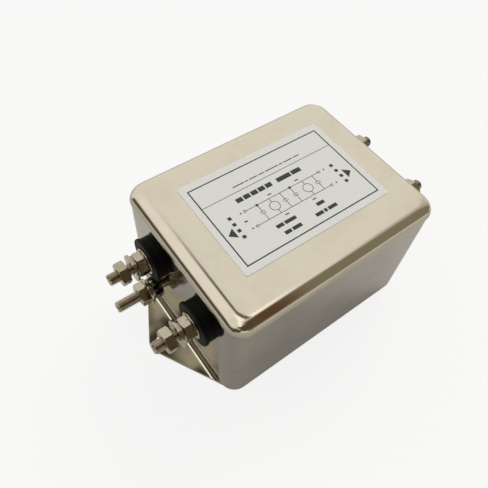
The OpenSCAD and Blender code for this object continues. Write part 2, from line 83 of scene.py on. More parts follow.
class Socket:
    """A shader socket that can stand in a Python expression."""

    def __init__(self, graph: "Graph", link: bpy.types.NodeSocket | None) -> None:
        """Keeps the node tree's wrapper and the output that the value comes from."""
        self.graph = graph
        self.link = link

    def __add__(self, other: "Value") -> "Socket":
        """Sum of two values."""
        return self.graph.math("ADD", self, other)

    __radd__ = __add__

    def __sub__(self, other: "Value") -> "Socket":
        """Difference of two values."""
        return self.graph.math("SUBTRACT", self, other)

    def __rsub__(self, other: "Value") -> "Socket":
        """Difference with a number on the left."""
        return self.graph.math("SUBTRACT", other, self)

    def __mul__(self, other: "Value") -> "Socket":
        """Product of two values."""
        return self.graph.math("MULTIPLY", self, other)

    __rmul__ = __mul__

    def __abs__(self) -> "Socket":
        """The value without its sign."""
        return self.graph.math("ABSOLUTE", self)

    def step(self, start: float, end: float) -> "Socket":
        """A smooth rise from 0 at start to 1 at end, or a fall where start is the larger.

        Args:
            start: The value at which the result is 0.
            end: The value at which the result is 1.

        Returns:
            The smoothed share.
        """
        falls = float(start > end)
        values = {"Value": self, "From Min": min(start, end), "From Max": max(start, end),
                  "To Min": falls, "To Max": 1.0 - falls}
        return self.graph.node("ShaderNodeMapRange", {"interpolation_type": "SMOOTHSTEP"}, values)

    def between(self, low: float, high: float, soft: float) -> "Socket":
        """A mask that is 1 between two values and fades over a soft edge.

        Args:
            low: Lower edge of the band.
            high: Upper edge of the band.
            soft: Width of the fade at each edge.

        Returns:
            The mask.
        """
        rise = self.step(low - soft / 2, low + soft / 2)
        return rise * self.step(high + soft / 2, high - soft / 2)

    def beside(self, out: str | int) -> "Socket":
        """Another output of the same node, by its name or place."""
        return Socket(self.graph, self.link.node.outputs[out])


Value = Socket | float | int


class Graph:
    """A node tree with one method that makes any node."""

    MIX_SHARE, MIX_FIRST, MIX_SECOND, MIX_COLOUR = 0, 6, 7, 2

    def __init__(self, tree: bpy.types.NodeTree) -> None:
        """Empties the tree.

        Args:
            tree: The tree of a material or of the world.
        """
        self.tree = tree
        tree.nodes.clear()

    def node(self, kind: str, settings: Mapping[str, Any] | None = None,
             values: Mapping[str | int, Any] | None = None, out: str | int = 0) -> Socket:
        """Makes a node, sets it up and feeds its inputs.

        Args:
            kind: The node's type name.
            settings: The node's own properties, which are set first.
            values: Numbers, tuples or sockets by input name or place.
            out: Name or place of the output wanted.

        Returns:
            The chosen output, which is empty on a node that ends a tree.
        """
        made = self.tree.nodes.new(kind)
        for name, value in (settings or {}).items():
            setattr(made, name, value)
        for key, value in (values or {}).items():
            entry = made.inputs[key]
            if isinstance(value, Socket):
                self.tree.links.new(value.link, entry)
            elif isinstance(value, tuple) and entry.type == "RGBA":
                entry.default_value = (*value, 1.0)
            else:
                entry.default_value = value
        return Socket(self, made.outputs[out] if len(made.outputs) else None)

    def math(self, operation: str, *terms: Value) -> Socket:
        """A Math node of one operation.

        Args:
            operation: Blender's name of the operation.
            terms: Its numbers or sockets, in order.

        Returns:
            The result.
        """
        return self.node("ShaderNodeMath", {"operation": operation}, dict(enumerate(terms)))

    def mix(self, share: Value, first: Any, second: Any) -> Socket:
        """Mixes two colours.

        Args:
            share: 0 gives the first colour and 1 the second.
            first: A colour or a socket.
            second: A colour or a socket.

        Returns:
            The mixed colour.
        """
        values = {self.MIX_SHARE: share, self.MIX_FIRST: first, self.MIX_SECOND: second}
        return self.node("ShaderNodeMix", {"data_type": "RGBA"}, values, out=self.MIX_COLOUR)

    def place(self) -> Socket:
        """The point on the piece, in its own coordinates, in metres."""
        return self.node("ShaderNodeTexCoord", out="Object")

    def axes(self, vector: Socket) -> tuple[Socket, Socket, Socket]:
        """The three parts of a vector.

        Args:
            vector: The vector to take apart.

        Returns:
            Its x, y and z.
        """
        split = self.node("ShaderNodeSeparateXYZ", values={0: vector})
        return split, split.beside(1), split.beside(2)

    def noise(self, mottle: "Mottle") -> Socket:
        """Smooth noise around one half, which lies still on the piece.

        Args:
            mottle: The size, shape and liveliness of its spots.

        Returns:
            The noise.
        """
        place = self.node("ShaderNodeVectorMath", {"operation": "MULTIPLY"},
                          {0: self.place(), 1: mottle.stretch})
        values = {"Vector": place, "Scale": 1 / (mottle.size_mm * MM), "Detail": mottle.detail,
                  "Roughness": mottle.rough}
        return self.node("ShaderNodeTexNoise", {"noise_dimensions": "3D"}, values)

    def bump(self, height: Socket, depth_mm: float, under: Socket | None = None) -> Socket:
        """A bumped normal.

        Args:
            height: The relief, from 0 to 1.
            depth_mm: Depth of the relief in millimetres.
            under: A coarser bump that this one lies on.

        Returns:
            The normal.
        """
        values: dict[str | int, Any] = {"Height": height, "Distance": depth_mm * MM}
        if under is not None:
            values["Normal"] = under
        return self.node("ShaderNodeBump", values=values)


@dataclass(frozen=True)
class Mottle:
    """The spots of a smooth noise: size, finer layers and their strength, and stretch.

    A factor under 1 draws the spots out along that axis.
    """

    size_mm: float
    detail: float = 2.0
    rough: float = 0.5
    stretch: Point = (1.0, 1.0, 1.0)


class Finish:
    """What every finish can do: make its material once and hand it out."""

    name: str

    def shade(self, graph: Graph) -> dict[str, Any]:
        """Values and sockets of the surface shader, by input name."""
        raise NotImplementedError

    def material(self) -> bpy.types.Material:
        """The finish as a material.

        Returns:
            The material, made at the first call.
        """
        found = bpy.data.materials.get(self.name)
        if found is not None:
            return found
        made = bpy.data.materials.new(self.name)
        made.use_nodes = True
        graph = Graph(made.node_tree)
        surface = graph.node("ShaderNodeBsdfPrincipled", values=self.shade(graph))
        graph.node("ShaderNodeOutputMaterial", values={"Surface": surface})
        return made

    def put_on(self, piece: bpy.types.Object) -> None:
        """Dresses a piece.

        Args:
            piece: The object whose every slot gets this finish.
        """
        if not piece.data.materials:
            piece.data.materials.append(None)
        for slot in piece.material_slots:
            slot.link = "OBJECT"
            slot.material = self.material()


@dataclass(frozen=True)
class Nickel(Finish):
    """Nickel plating, or another bare metal, on drawn or turned parts."""

    name: str
    colour: Colour
    stain: Colour
    roughness: float
    haze: float = 0.1
    stain_share: float = 0.7
    wave_mm: float = 3.0
    wave_depth_mm: float = 0.012
    grain_depth_mm: float = 0.002
    stretch: Point = (1.0, 1.0, 1.0)

    STAINS = Mottle(14.0, 3.0, 0.6)
    STAIN_EDGE = (0.42, 0.68)
    HAZES = Mottle(5.0, 4.0, 0.65)
    SCUFFS = Mottle(1.6, 3.0, 0.7, stretch=(1.0, 0.22, 1.0))
    SCUFF_EDGE = (0.6, 0.72)
    SCUFF_SHARE = 0.4
    SPECKS = Mottle(1.1, 3.0, 0.7)
    SPECK_EDGE = (0.45, 0.65)
    SPECK_SHARE = 0.14
    GRAIN = Mottle(0.35, 2.0, 0.6)

    def shade(self, graph: Graph) -> dict[str, Any]:
        """Cloudy plating with a faint grain over the waves of the sheet.

        Args:
            graph: The material's tree.

        Returns:
            Inputs of the surface shader.
        """
        cloud = graph.noise(self.STAINS).step(*self.STAIN_EDGE) * self.stain_share
        specks = graph.noise(self.SPECKS).step(*self.SPECK_EDGE) * self.SPECK_SHARE
        haze = graph.noise(self.HAZES) * self.haze
        scuff = graph.noise(self.SCUFFS).step(*self.SCUFF_EDGE) * (self.haze * self.SCUFF_SHARE)
        waves = graph.noise(Mottle(self.wave_mm, 0.0, stretch=self.stretch))
        coarse = graph.bump(waves, self.wave_depth_mm)
        return {
            "Base Color": graph.mix(cloud + specks, self.colour, self.stain),
            "Metallic": 1.0,
            "Roughness": haze + scuff + (self.roughness - self.haze / 2),
            "Normal": graph.bump(graph.noise(self.GRAIN), self.grain_depth_mm, coarse),
        }


@dataclass(frozen=True)
class WrinkledNickel(Nickel):
    """Plating over a pressed cap: corners that puckered in the tool, and painted shade on the
    skirt.
    """

    corner_x_mm: Span = (33.4, 36.4)
    corner_y_mm: Span = (24.4, 27.4)
    corner_z_mm: Span = (48.55, 47.75)
    skirt_shade_z_mm: Span = (47.0, 46.1)
    skirt_shade_share: float = 0.8
    skirt_shade_colour: Colour = (0.44, 0.405, 0.335)
    pucker_depth_mm: float = 0.42

    PUCKERS = Mottle(2.3, 1.0)

    def shade(self, graph: Graph) -> dict[str, Any]:
        """The plating with small puckers low on the four corners and painted shade on the skirt.

        Args:
            graph: The material's tree.

        Returns:
            Inputs of the surface shader.
        """
        inputs = super().shade(graph)
        x, y, z = graph.axes(graph.place())
        corner = self._rise(abs(x), self.corner_x_mm) * self._rise(abs(y), self.corner_y_mm)
        corner = corner * self._rise(z, self.corner_z_mm)
        # Painted shade: the skirt's plating is coloured darker below the shoulder.
        skirt = self._rise(z, self.skirt_shade_z_mm) * self.skirt_shade_share
        inputs["Base Color"] = graph.mix(skirt, inputs["Base Color"], self.skirt_shade_colour)
        inputs["Normal"] = graph.bump(graph.noise(self.PUCKERS) * corner, self.pucker_depth_mm,
                                      inputs["Normal"])
        return inputs

    @staticmethod
    def _rise(axis: Socket, span_mm: Span) -> Socket:
        """A rise from 0 to 1 across a span in millimetres."""
        return axis.step(span_mm[0] * MM, span_mm[1] * MM)


@dataclass(frozen=True)
class BeadedNickel(Nickel):
    """Duller plating with a bead pressed along the can's foot and a painted highlight on it."""

    bead_at_mm: float = 40.0
    bead_w_mm: float = 1.4
    bead_h_mm: float = 0.3
    bead_highlight_colour: Colour = (0.93, 0.89, 0.80)

    def shade(self, graph: Graph) -> dict[str, Any]:
        """The plating with the bead raised and a painted highlight along it.

        Args:
            graph: The material's tree.

        Returns:
            Inputs of the surface shader.
        """
        inputs = super().shade(graph)
        along = graph.axes(graph.place())[0]
        off = abs(abs(along) - self.bead_at_mm * MM)
        bead = off.step(self.bead_w_mm / 2 * MM, 0.0)
        # Painted highlight: the bead is coloured near white.
        inputs["Base Color"] = graph.mix(bead, inputs["Base Color"], self.bead_highlight_colour)
        inputs["Normal"] = graph.bump(bead, self.bead_h_mm, inputs["Normal"])
        return inputs


@dataclass(frozen=True)
class Moulding(Finish):
    """Moulded or cured plastic, matt with a slight sheen."""

    name: str
    colour: Colour
    dusty: Colour
    roughness: float
    grain_mm: float = 0.6
    grain_depth_mm: float = 0.01
    shine: float = 0.5

    DUST = Mottle(3.0, 4.0, 0.6)
    DUST_EDGE = (0.5, 0.75)
    GRAIN_ROUGH = 0.6
    ROUGH_SPREAD = 0.2

    def shade(self, graph: Graph) -> dict[str, Any]:
        """A body colour with dust in patches and a moulded grain.

        Args:
            graph: The material's tree.

        Returns:
            Inputs of the surface shader.
        """
        dust = graph.noise(self.DUST).step(*self.DUST_EDGE)
        grain = graph.noise(Mottle(self.grain_mm, rough=self.GRAIN_ROUGH))
        return {
            "Base Color": graph.mix(dust, self.colour, self.dusty),
            "Roughness": grain * self.ROUGH_SPREAD + (self.roughness - self.ROUGH_SPREAD / 2),
            "Specular IOR Level": self.shine,
            "Normal": graph.bump(grain, self.grain_depth_mm),
        }


@dataclass(frozen=True)
class Fibre(Finish):
    """Paper or card with its fibres showing faintly."""

    name: str
    colour: Colour
    fibre: Colour
    roughness: float
    coat: float

    ALONG = Mottle(0.28, stretch=(0.25, 1.0, 1.0))
    ACROSS = Mottle(0.28, stretch=(1.0, 0.25, 1.0))
    FIBRE_EDGE = (0.45, 0.8)
    FIBRE_SHARE = 0.5
    CLOUDS = Mottle(9.0)
    CLOUD_SHARE = 0.3
    ROUGH_SPREAD = 0.12
    COAT_ROUGHNESS = 0.35
    DEPTH_MM = 0.012

    def shade(self, graph: Graph) -> dict[str, Any]:
        """Fine fibres lying in all directions over a cloudy base.

        Args:
            graph: The material's tree.

        Returns:
            Inputs of the surface shader.
        """
        fibres = graph.math("MAXIMUM", graph.noise(self.ALONG), graph.noise(self.ACROSS))
        cloud = graph.noise(self.CLOUDS) * self.CLOUD_SHARE
        shown = fibres.step(*self.FIBRE_EDGE) * self.FIBRE_SHARE
        return {
            "Base Color": graph.mix(shown + cloud, self.colour, self.fibre),
            "Roughness": fibres * self.ROUGH_SPREAD + (self.roughness - self.ROUGH_SPREAD / 2),
            "Coat Weight": self.coat,
            "Coat Roughness": self.COAT_ROUGHNESS,
            "Normal": graph.bump(fibres, self.DEPTH_MM),
        }


@dataclass(frozen=True)
class Enamel(Finish):
    """Enamelled wire, darker where the enamel is thick."""

    name: str
    colour: Colour
    dark: Colour

    TONES = Mottle(4.8)
    TONE_EDGE = (0.35, 0.8)
    FINE = Mottle(1.6, 1.0)
    METALLIC = 0.6
    ROUGHNESS = 0.22
    ROUGH_SPREAD = 0.2
    COAT = 0.6
    DEPTH_MM = 0.02

    def shade(self, graph: Graph) -> dict[str, Any]:
        """Enamel of uneven tone over copper.

        Args:
            graph: The material's tree.

        Returns:
            Inputs of the surface shader.
        """
        tone = graph.noise(self.TONES).step(*self.TONE_EDGE)
        fine = graph.noise(self.FINE)
        return {
            "Base Color": graph.mix(tone, self.colour, self.dark),
            "Metallic": self.METALLIC,
            "Roughness": fine * self.ROUGH_SPREAD + self.ROUGHNESS,
            "Coat Weight": self.COAT,
            "Normal": graph.bump(fine, self.DEPTH_MM),
        }


@dataclass(frozen=True)
class Ink(Finish):
    """Printing ink, slightly worn where it lies on the paper's fibres."""

    name: str
    colour: Colour
    worn: Colour

    WEAR = Mottle(0.5, 3.0, 0.6)
    WEAR_EDGE = (0.52, 0.8)
    ROUGHNESS = 0.4
    ROUGH_SPREAD = 0.2

    def shade(self, graph: Graph) -> dict[str, Any]:
        """Solid ink with small pale wear.

        Args:
            graph: The material's tree.

        Returns:
            Inputs of the surface shader.
        """
        wear = graph.noise(self.WEAR)
        return {
            "Base Color": graph.mix(wear.step(*self.WEAR_EDGE), self.colour, self.worn),
            "Roughness": wear * self.ROUGH_SPREAD + self.ROUGHNESS,
        }


LID_NICKEL = WrinkledNickel(
    "lid_nickel", (0.665, 0.610, 0.505), (0.60, 0.545, 0.43), roughness=0.13, haze=0.05,
    stain_share=0.5, wave_mm=40.0, wave_depth_mm=0.05, grain_depth_mm=0.003)
# Painted shade: the can takes the lid's nickel coloured darker, for the shaded floor that its
# walls reflect.
SHADED_CAN_NICKEL = Nickel(
    "can_nickel", (0.405, 0.385, 0.340), (0.32, 0.290, 0.225), roughness=0.12, haze=0.05,
    stain_share=0.5, wave_mm=13.0, wave_depth_mm=0.13, stretch=(1.0, 1.0, 0.30))
PLATE_NICKEL = BeadedNickel(
    "plate_nickel", (0.430, 0.385, 0.275), (0.30, 0.255, 0.165), roughness=0.17, haze=0.08,
    stain_share=0.8, wave_mm=12.0, wave_depth_mm=0.10, grain_depth_mm=0.0015)
# Painted shade: the nuts' nickel is coloured darker for the shade on their lower faces.
SHADED_NUT_NICKEL = Nickel("nut_nickel", (0.480, 0.440, 0.340), (0.34, 0.290, 0.20), roughness=0.11,
                    haze=0.05, wave_depth_mm=0.015)
WASHER_NICKEL = Nickel("washer_nickel", (0.520, 0.470, 0.370), (0.36, 0.305, 0.21),
                       roughness=0.15, haze=0.08)
STUD_NICKEL = Nickel("stud_nickel", (0.540, 0.475, 0.385), (0.38, 0.30, 0.21), roughness=0.2,
                     wave_mm=2.0, wave_depth_mm=0.01)
SPRING_STEEL = Nickel("spring_steel", (0.420, 0.375, 0.300), (0.28, 0.235, 0.17), roughness=0.2,
                      wave_mm=2.0, wave_depth_mm=0.01, grain_depth_mm=0.003)
LUG_BRASS = Nickel("lug_brass", (0.720, 0.600, 0.340), (0.55, 0.43, 0.22), roughness=0.25,
                   stain_share=0.6, wave_depth_mm=0.02, grain_depth_mm=0.003)
BLACK_INSULATOR = Moulding("black_insulator", (0.0025, 0.0025, 0.0022), (0.006, 0.006, 0.005),
                           roughness=0.55, grain_mm=0.25, shine=0.12)
LINER_CARD = Fibre("liner_card", (0.62, 0.54, 0.38), (0.50, 0.42, 0.28), roughness=0.7, coat=0.0)
POTTING_RESIN = Moulding("potting_resin", (0.03, 0.028, 0.025), (0.05, 0.045, 0.04),
                         roughness=0.35, grain_mm=2.5, grain_depth_mm=0.06)
BOARD_LAMINATE = Moulding("board_laminate", (0.03, 0.12, 0.05), (0.045, 0.15, 0.06),
                          roughness=0.3)
CORE_COATING = Moulding("core_coating", (0.05, 0.06, 0.07), (0.09, 0.1, 0.11), roughness=0.5,
                        grain_mm=0.5, grain_depth_mm=0.03)
COPPER_WIRE = Enamel("copper_wire", (0.62, 0.28, 0.11), (0.28, 0.10, 0.04))
SADDLE_PLASTIC = Moulding("saddle_plastic", (0.06, 0.06, 0.065), (0.09, 0.09, 0.09),
                          roughness=0.5, grain_mm=0.4)
FILM_CASE = Moulding("film_case", (0.62, 0.42, 0.05), (0.68, 0.5, 0.1), roughness=0.3,
                     grain_mm=0.5)
DISC_COATING = Moulding("disc_coating", (0.02, 0.08, 0.32), (0.04, 0.12, 0.4), roughness=0.25,
                        grain_depth_mm=0.02)
RESISTOR_COATING = Moulding("resistor_coating", (0.55, 0.42, 0.24), (0.6, 0.48, 0.3),
                            roughness=0.4, grain_mm=0.5)
LEAD_BROWN = Moulding("lead_brown", (0.09, 0.035, 0.015), (0.13, 0.06, 0.03), roughness=0.45)
LEAD_GREEN = Moulding("lead_green", (0.08, 0.24, 0.02), (0.4, 0.42, 0.03), roughness=0.45)
LABEL_PAPER = Fibre("label_paper", (0.760, 0.775, 0.765), (0.70, 0.715, 0.70), roughness=0.5,
                    coat=0.25)
LABEL_INK = Ink("label_ink", (0.022, 0.024, 0.028), (0.10, 0.10, 0.105))


def arc(middle: Flat, radius: float, start: float, end: float, steps: int) -> list[Flat]:
    """Points on an arc, both its ends among them.

    Args:
        middle: The arc's middle.
        radius: Its radius.
        start: The angle at which it starts, in radians.
        end: The angle at which it ends.
        steps: Number of steps between its ends.

    Returns:
        The points.
    """
    angles = [start + (end - start) * step / steps for step in range(steps + 1)]
    return [(middle[0] + radius * math.cos(angle), middle[1] + radius * math.sin(angle))
            for angle in angles]


def rounded(half: Flat, radius: float, steps: int) -> list[Flat]:
    """Outline of a rectangle with round corners, counter-clockwise.

    Args:
        half: Half its length along X and half its width along Y.
        radius: The radius of its corners.
        steps: Number of steps round a corner.

    Returns:
        The outline's points.
    """
    points = []
    for quarter, (sx, sy) in enumerate(((1, 1), (-1, 1), (-1, -1), (1, -1))):
        middle = (sx * (half[0] - radius), sy * (half[1] - radius))
        points += arc(middle, radius, math.pi / 2 * quarter, math.pi / 2 * (quarter + 1), steps)
    return points


def add_object(name: str, data: bpy.types.ID) -> bpy.types.Object:
    """Adds an object to the scene.

    Args:
        name: Its name.
        data: Its mesh, curve, lamp or camera.

    Returns:
        The object.
    """
    made = bpy.data.objects.new(name, data)
    bpy.context.scene.collection.objects.link(made)
    return made


@dataclass
class Draft:
    """Points and faces of a mesh that is being drawn, in metres."""

    points: list[Point] = field(default_factory=list)
    faces: list[tuple[int, ...]] = field(default_factory=list)

    ASIDE = (1.0, 0.3, 0.2)
    DOUBLED = 1e-7

    def ring(self, points: Sequence[Point]) -> list[int]:
        """Adds a row of points.

        Args:
            points: The points in order.

        Returns:
            Their places in the mesh.
        """
        first = len(self.points)
        self.points.extend(points)
        return list(range(first, first + len(points)))

    def band(self, lower: Sequence[int], upper: Sequence[int]) -> None:
        """Joins two closed rows of the same length with quads.

        Args:
            lower: Places of the first row.
            upper: Places of the second row.
        """
        count = len(lower)
        for here in range(count):
            after = (here + 1) % count
            self.faces.append((lower[here], lower[after], upper[after], upper[here]))

    def loft(self, rows: Sequence[Sequence[int]]) -> None:
        """Joins closed rows one after another with quads and closes both ends.

        Args:
            rows: Places of each row's points, all rows of the same length.
        """
        for lower, upper in zip(rows, rows[1:]):
            self.band(lower, upper)
        self.faces += [tuple(rows[0]), tuple(rows[-1])]

    def prism(self, outline: Sequence[Flat], hole: Sequence[Flat], low: float,
              high: float) -> None:
        """Adds a closed upright prism.

        Args:
            outline: Its corners seen from above.
            hole: Corners of a hole through it, as many and in the same order, or none.
            low: Height of its lower face.
            high: Height of its upper face.
        """
        edges = ((outline, low), (outline, high), (hole, high), (hole, low))
        rows = [self.ring([(x, y, z) for x, y in flat]) for flat, z in edges if flat]
        if not hole:
            self.loft(rows)
            return
        for here, row in enumerate(rows):
            self.band(row, rows[(here + 1) % len(rows)])

    def tube(self, path: Sequence[Vector], radius: float, sides: int) -> None:
        """Adds a round wire along a path, closed at both ends.

        Args:
            path: Points along the wire's middle.
            radius: The wire's radius.
            sides: Number of points round it.
        """
        angles = [2 * math.pi * side / sides for side in range(sides)]
        rows = []
        across = Vector(self.ASIDE)
        for here, point in enumerate(path):
            before = path[max(here - 1, 0)]
            after = path[min(here + 1, len(path) - 1)]
            along = (after - before).normalized()
            across = (across - along * across.dot(along)).normalized()
            other = along.cross(across)
            rows.append(self.ring([point + across * radius * math.cos(angle)
                                   + other * radius * math.sin(angle) for angle in angles]))
        self.loft(rows)

    def build(self, name: str, smooth_angle: float | None = None) -> bpy.types.Object:
        """Makes the object, with doubled points joined and normals pointing out.

        Args:
            name: The piece's name.
            smooth_angle: Degrees below which an edge is shaded smooth, or None for flat.

        Returns:
            The new object in the scene.
        """
        mesh = bpy.data.meshes.new(name)
        mesh.from_pydata([Vector(point) for point in self.points], [], self.faces)
        work = bmesh.new()
        work.from_mesh(mesh)
        bmesh.ops.remove_doubles(work, verts=work.verts, dist=self.DOUBLED)
        bmesh.ops.dissolve_degenerate(work, edges=work.edges, dist=self.DOUBLED)
        bmesh.ops.recalc_face_normals(work, faces=work.faces)
        if smooth_angle is not None:
            limit = math.radians(smooth_angle)
            for face in work.faces:
                face.smooth = True
            for edge in work.edges:
                edge.smooth = len(edge.link_faces) != 2 or edge.calc_face_angle() <= limit
        work.to_mesh(mesh)
        work.free()
        return add_object(name, mesh)


@dataclass(frozen=True)
class Axis:
    """A line along which hardware is threaded, from its root along +X (1) or -X (-1)."""

    root: Vector
    out: float

    def at(self, along: float, radius: float, angle: float) -> Point:
        """A point round the line, right-handed as seen along it.

        Args:
            along: Distance out from the line's root.
            radius: Distance from the line.
            angle: Angle round the line in radians, from the top.

        Returns:
            The point in the frame.
        """
        return (self.root.x + self.out * along,
                self.root.y - self.out * radius * math.sin(angle),
                self.root.z + radius * math.cos(angle))

    def circle(self, along: float, radius: float, sides: int) -> list[Point]:
        """Evenly spaced points round the line.

        Args:
            along: Distance out from the line's root.
            radius: Distance from the line.
            sides: Number of points.

        Returns:
            The points in the frame.
        """
        return [self.at(along, radius, 2 * math.pi * side / sides) for side in range(sides)]


@dataclass(frozen=True)
class Thread:
    """An M4 thread on a rod, drawn as one true helix."""

    major_r: float = 2.0 * MM
    minor_r: float = 1.62 * MM
    pitch: float = 0.7 * MM
    tip_chamfer: float = 0.45 * MM
    sides: int = 36
    profile_shares: tuple[tuple[float, float], ...] = (
        (0.0, 0.0), (0.12, 0.0), (0.30, 0.5), (0.50, 1.0), (0.62, 1.0), (0.80, 0.5))

    def draw(self, draft: Draft, axis: Axis, start: float, end: float) -> None:
        """Draws a threaded rod with a flat root and a chamfered tip.

        Args:
            draft: The mesh that it goes into.
            axis: The line that it lies on.
            start: Where the rod starts along the line.
            end: Where its tip ends.
        """
        steps = len(self.profile_shares)
        turns = math.ceil((end - start) / self.pitch) + 2
        rows: list[list[int]] = []
        for turn in range(-1, turns):
            for share, height in self.profile_shares:
                rows.append(self._row(draft, axis, (turn + share) * self.pitch + start, height,
                                      start, end))
        for here in range(len(rows) - steps):
            for side in range(self.sides - 1):
                draft.faces.append((rows[here][side], rows[here][side + 1],
                                    rows[here + 1][side + 1], rows[here + 1][side]))
        for here in range(len(rows) - steps - 1):
            last = self.sides - 1
            draft.faces.append((rows[here][last], rows[here + steps][0],
                                rows[here + steps + 1][0], rows[here + 1][last]))
        for along, radius in ((start, self.major_r), (end, self.major_r - self.tip_chamfer)):
            draft.faces.append(tuple(draft.ring(axis.circle(along, radius, self.sides))))

    def _row(self, draft: Draft, axis: Axis, begin: float, height: float, start: float,
             end: float) -> list[int]:
        """One turn of points along the helix, held between the rod's two ends.

        Args:
            draft: The mesh that it goes into.
            axis: The line that the rod lies on.
            begin: Where the turn begins along the line.
            height: Height of the profile there, from 0 at the root to 1 at the crest.
            start: Where the rod starts along the line.
            end: Where its tip ends.

        Returns:
            The points' places in the mesh.
        """
        points = []
        for side in range(self.sides):
            share = side / self.sides
            along = min(max(begin + share * self.pitch, start), end)
            radius = self.minor_r + (self.major_r - self.minor_r) * height
            tip_r = self.major_r - self.tip_chamfer + (end - along)
            if along <= start:
                radius = self.major_r
            points.append(axis.at(along, min(radius, tip_r), share * 2 * math.pi))
        return draft.ring(points)


@dataclass
class Hardware:
    """Sizes of the screw hardware, shared by the terminals and the earth post."""

    thread: Thread = Thread()
    head_sides: int = 6
    washer_bore_gap: float = 0.15 * MM
    split_gap: float = 0.5 * MM
    section_round: float = 0.12 * MM
    lift: float = 0.05 * MM
    ring_steps: int = 72
    bevel_width: float = 0.09 * MM
    bevel_steps: int = 2
    bevel_angle: float = math.radians(32)
    weld: float = 0.0005 * MM

    def soften(self, node: bpy.types.Object) -> None:
        """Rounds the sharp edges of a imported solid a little, as plating and wear do.

        Args:
            node: The solid's object.
        """
        weld = node.modifiers.new("joined", "WELD")
        weld.merge_threshold = self.weld
        bevel = node.modifiers.new("worn_edges", "BEVEL")
        bevel.width = self.bevel_width
        bevel.segments = self.bevel_steps
        bevel.limit_method = "ANGLE"
        bevel.angle_limit = self.bevel_angle
        bevel.use_clamp_overlap = True
        shading = node.modifiers.new("even_shading", "WEIGHTED_NORMAL")
        shading.keep_sharp = False

    def spring_washer(self, name: str, node: str, out: float) -> bpy.types.Object:
        """A split washer coiled by a fraction of its thickness, in place of its solid.

        Args:
            name: The piece's name.
            node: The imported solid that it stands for.
            out: 1 or -1, the way in which its stud points.

        Returns:
            The piece.
        """
        low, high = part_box(node)
        axis = Axis((low + high) / 2, out)
        inner, outer = self.thread.major_r + self.washer_bore_gap, (high.z - low.z) / 2
        half = (high.x - low.x) / 2 - self.lift
        cut = self.section_round
        section = [(inner + cut, -half), (outer - cut, -half), (outer, -half + cut),
                   (outer, half - cut), (outer - cut, half), (inner + cut, half),
                   (inner, half - cut), (inner, -half + cut)]
        half_gap = math.asin(self.split_gap / 2 / ((outer + inner) / 2))
        draft = Draft()
        rows = []
        for step in range(self.ring_steps + 1):
            share = step / self.ring_steps
            angle = half_gap + share * 2 * (math.pi - half_gap) + math.pi / 2
            shift = (share - 0.5) * 2 * self.lift
            rows.append(draft.ring([axis.at(shift + along, radius, angle)
                                    for radius, along in section]))
        draft.loft(rows)
        return draft.build(name, smooth_angle=50)


class Post(Enum):
    """The five screw posts, by the names of their bodies and nodes."""

    LINE_FRONT = "line_front"
    LINE_REAR = "line_rear"
    LOAD_FRONT = "load_front"
    LOAD_REAR = "load_rear"
    EARTH = "earth"

    @property
    def out(self) -> float:
        """1 where the post points along +X, and -1 where it points along -X."""
        return 1.0 if self.value.startswith("load") else -1.0


@dataclass
class ScrewPost:
    """One stud with its nuts, washers and insulators.

    A hexagonal head's corners stand out by at most corner_share of its half width.
    """

    post: Post
    hardware: Hardware
    hex_head_h: float = 2.8 * MM
    plate_head_h: float = 1.2 * MM
    corner_share: float = 1.16

    def build(self, nodes: Mapping[str, bpy.types.Object]) -> None:
        """Models the stud and the spring washer and dresses the rest.

        Args:
            nodes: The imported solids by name.
        """
        name = self.post.value
        self._stud(name)
        washer = self.hardware.spring_washer(f"{name}_coiled_spring_washer",
                                             f"{name}_spring_washer", self.post.out)
        SPRING_STEEL.put_on(washer)
        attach(washer, f"{name}_washers")
        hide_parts(f"{name}_spring_washer")
        for part, finish in (("washer", WASHER_NICKEL), ("nut", SHADED_NUT_NICKEL)):
            finish.put_on(nodes[f"{name}_{part}"])
            self.hardware.soften(nodes[f"{name}_{part}"])
        if self.post is Post.EARTH:
            SHADED_NUT_NICKEL.put_on(nodes["earth_backing_nut"])
            self.hardware.soften(nodes["earth_backing_nut"])
            return
        for part in ("insulator", "inner_insulator"):
            BLACK_INSULATOR.put_on(nodes[f"{name}_{part}"])

    def _stud(self, name: str) -> None:
        """Models the threaded stud in place of the plain one.

        Args:
            name: The post's name.
        """
        low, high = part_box(f"{name}_stud")
        can_low, can_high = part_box("can")
        middle = (low + high) / 2
        if self.post.out > 0:
            end, reach, back = can_high.x, high.x - can_high.x, low.x - can_high.x
        else:
            end, reach, back = can_low.x, can_low.x - low.x, can_low.x - high.x
        axis = Axis(Vector((end, middle.y, middle.z)), self.post.out)
        head_h = self.plate_head_h if self.post is Post.EARTH else self.hex_head_h
        head_r = min((high.z - low.z) / 2, (high.y - low.y) / 2 * self.corner_share)
        draft = Draft()
        self.hardware.thread.draw(draft, axis, back + head_h, reach)
        draft.loft([draft.ring(axis.circle(along, head_r, self.hardware.head_sides))
                    for along in (back, back + head_h)])
        piece = draft.build(f"{name}_threaded_stud", smooth_angle=40)
        STUD_NICKEL.put_on(piece)
        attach(piece, "housing")
        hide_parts(f"{name}_stud")


